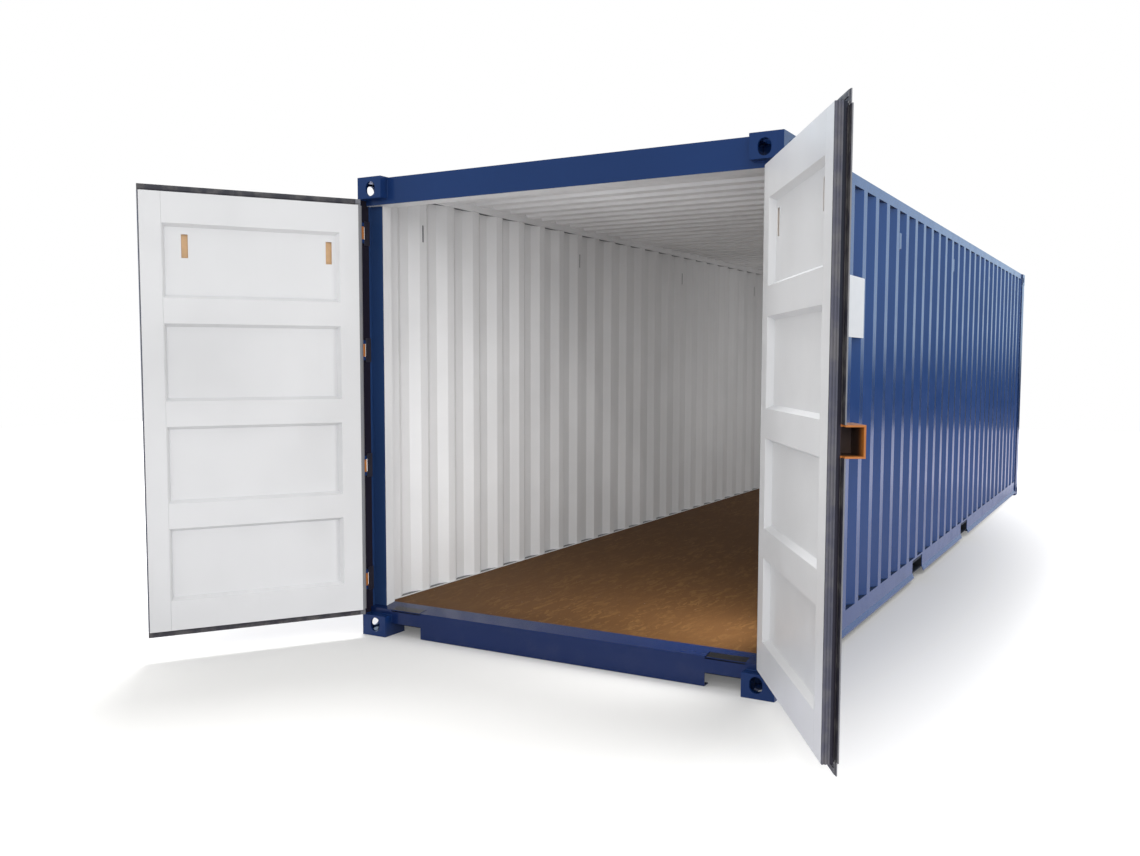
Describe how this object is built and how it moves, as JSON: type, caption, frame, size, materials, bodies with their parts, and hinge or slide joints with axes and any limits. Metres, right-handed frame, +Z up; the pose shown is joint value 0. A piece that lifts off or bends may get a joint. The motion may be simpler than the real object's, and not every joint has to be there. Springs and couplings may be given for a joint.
{
  "type": "thirty foot shipping container",
  "caption": "Steel freight container with corrugated walls, wooden floor, fork pockets and two hinged end doors with locking bars.",
  "frame": {"origin": "middle of the base, level with the undersides of the bottom corner castings", "axes": "+X out of the door end along the length, +Y to the right of someone looking in, +Z up"},
  "size_m": [10.1926, 3.6618, 2.591],
  "materials": {
    "blue_paint": "gloss enamel outside",
    "leaf_paint": "off-white enamel inside, blue outside",
    "orange_paint": "satin enamel",
    "rubber_seal": "matt",
    "floor_wood": "sealed marine plywood",
    "white_board": "satin, bare",
    "underframe_paint": "matt"
  },
  "bodies": {
    "container": {"bottom_castings": "blue_paint", "top_castings": "blue_paint", "right_door_post": "blue_paint", "left_door_post": "blue_paint", "right_hinge_lugs": "blue_paint", "left_hinge_lugs": "blue_paint", "door_header": "blue_paint", "door_sill": "blue_paint", "blind_end_posts": "blue_paint", "blind_end_top_rail": "blue_paint", "blind_end_bottom_rail": "blue_paint", "right_top_rail": "blue_paint", "left_top_rail": "blue_paint", "right_bottom_rail": "blue_paint", "left_bottom_rail": "blue_paint", "right_wall": "blue_paint", "left_wall": "blue_paint", "blind_end_wall": "blue_paint", "roof_panel": "blue_paint", "right_wall_vents": "blue_paint", "left_wall_vents": "blue_paint", "sign_board": "white_board", "floor_boards": "floor_wood", "cross_members": "underframe_paint", "fork_pockets": "underframe_paint"},
    "right_door": {"right_door_free_stile": "leaf_paint", "right_door_hinge_stile": "leaf_paint", "right_door_bottom_rail": "leaf_paint", "right_door_top_rail": "leaf_paint", "right_door_panel": "leaf_paint", "right_door_gasket": "rubber_seal", "right_door_hinge_blades": "orange_paint", "right_door_locking_bars": "orange_paint", "right_door_bar_guides": "blue_paint", "right_door_handles": "orange_paint", "right_door_handle_retainers": "blue_paint", "right_door_lock_box": "orange_paint"},
    "left_door": {"left_door_free_stile": "leaf_paint", "left_door_hinge_stile": "leaf_paint", "left_door_bottom_rail": "leaf_paint", "left_door_top_rail": "leaf_paint", "left_door_panel": "leaf_paint", "left_door_gasket": "rubber_seal", "left_door_hinge_blades": "orange_paint", "left_door_locking_bars": "orange_paint", "left_door_bar_guides": "blue_paint", "left_door_handles": "orange_paint", "left_door_handle_retainers": "blue_paint"}
  },
  "joints": [
    {"name": "right_door_hinge", "type": "hinge", "parent": "container", "child": "right_door", "pos_m": [4.5485, 1.205, 1.2955], "axis": [0, 0, 1], "range_deg": [-120, 147]},
    {"name": "left_door_hinge", "type": "hinge", "parent": "container", "child": "left_door", "pos_m": [4.5485, -1.205, 1.2955], "axis": [0, 0, -1], "range_deg": [-122, 148]}
  ]
}
